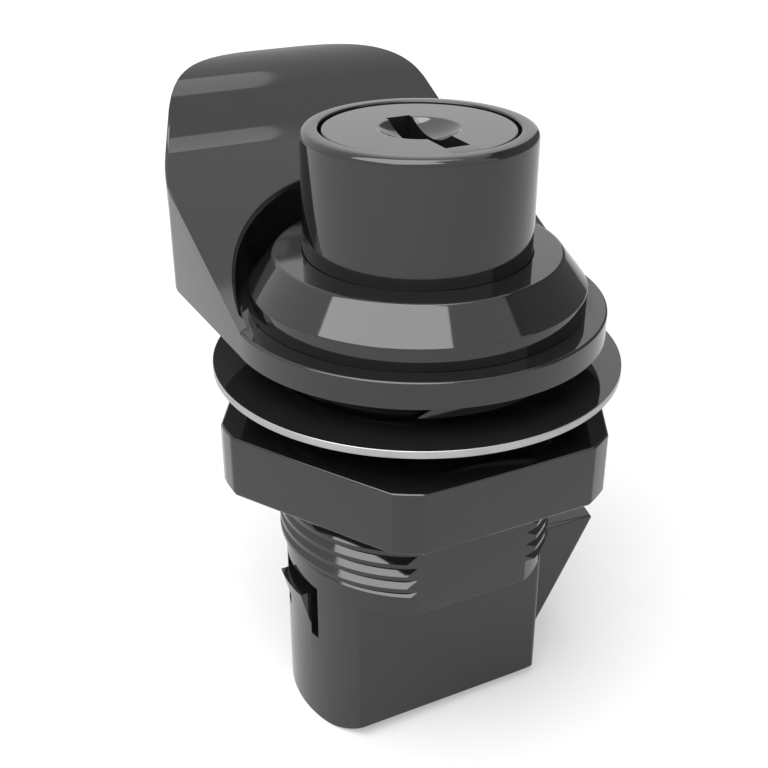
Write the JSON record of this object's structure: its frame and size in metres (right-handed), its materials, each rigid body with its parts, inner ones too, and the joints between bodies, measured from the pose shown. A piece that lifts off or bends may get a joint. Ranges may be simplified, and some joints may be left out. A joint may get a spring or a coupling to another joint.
{
  "type": "push-to-close latch",
  "caption": "Round push-button latch for a panel hole, with a key lock, a spring bolt that slams shut, a finger pull, a panel washer and a hex nut.",
  "frame": {"origin": "on the barrel's axis, in the plane where the finger pull's ring seats on the panel", "axes": "+Z out of the panel towards the button, +X along the bolt towards its nose, +Y towards the finger pull"},
  "size_m": [0.0362, 0.0477, 0.0561],
  "materials": {
    "housing_plastic": "glossy dark grey moulding",
    "pull_plastic": "glossy dark grey moulding",
    "button_plastic": "glossy dark grey moulding",
    "bolt_plastic": "smooth dark grey moulding",
    "nut_plastic": "glossy dark grey moulding",
    "inner_plastic": "dark moulding, not seen",
    "plug_metal": "die-cast metal, dark grey finish",
    "wafer_brass": "stamped brass",
    "spring_steel": "bright drawn wire",
    "plated_steel": "zinc plated",
    "washer_steel": "black faces with a bright cut edge",
    "seal_rubber": "black rubber"
  },
  "bodies": {
    "housing": {"housing": "housing_plastic", "finger_pull": "pull_plastic", "flange_seal": "seal_rubber", "button_seal": "seal_rubber", "button_spring": "spring_steel", "bolt_spring": "spring_steel"},
    "button": {"push_button": "button_plastic"},
    "plug": {"lock_plug": "plug_metal", "plug_seal": "seal_rubber", "wafer_tumblers": "wafer_brass", "wafer_springs": "spring_steel", "plug_clip": "spring_steel", "stop_washer": "plated_steel", "lock_cam": "plated_steel", "cam_lock_washer": "plated_steel", "cam_screw": "plated_steel"},
    "yoke": {"cam_yoke": "inner_plastic"},
    "bolt": {"slam_bolt": "bolt_plastic"},
    "washer": {"panel_washer": "washer_steel"},
    "nut": {"hex_nut": "nut_plastic"}
  },
  "joints": [
    {"name": "button_press", "type": "slide", "parent": "housing", "child": "button", "axis": [0, 0, -1], "range_m": [0, 0.006], "stiffness_N_per_m": 350, "springref_m": -0.004, "deforming": ["button_spring"]},
    {"name": "key_turn", "type": "hinge", "parent": "button", "child": "plug", "pos_m": [0, 0, 0.01], "axis": [0, 0, 1], "range_deg": [0, 90]},
    {"name": "yoke_drop", "type": "slide", "parent": "housing", "child": "yoke", "axis": [0, 0, -1], "range_m": [0, 0.006]},
    {"name": "bolt_draw", "type": "slide", "parent": "housing", "child": "bolt", "axis": [-1, 0, 0], "range_m": [0, 0.006], "deforming": ["bolt_spring"]},
    {"name": "nut_turn", "type": "hinge", "parent": "housing", "child": "washer", "pos_m": [0, 0, 0], "axis": [0, 0, 1], "range_deg": [-2340, 840]},
    {"name": "nut_climb", "type": "slide", "parent": "washer", "child": "nut", "axis": [0, 0, 1], "range_m": [-0.00825, 0.00296]}
  ],
  "couplings": [
    {"joint": "yoke_drop", "follows": "button_press", "ratio": 1},
    {"joint": "bolt_draw", "follows": "button_press", "ratio": 1},
    {"joint": "nut_turn", "follows": "nut_climb", "rad_per_m": 4947.4}
  ]
}
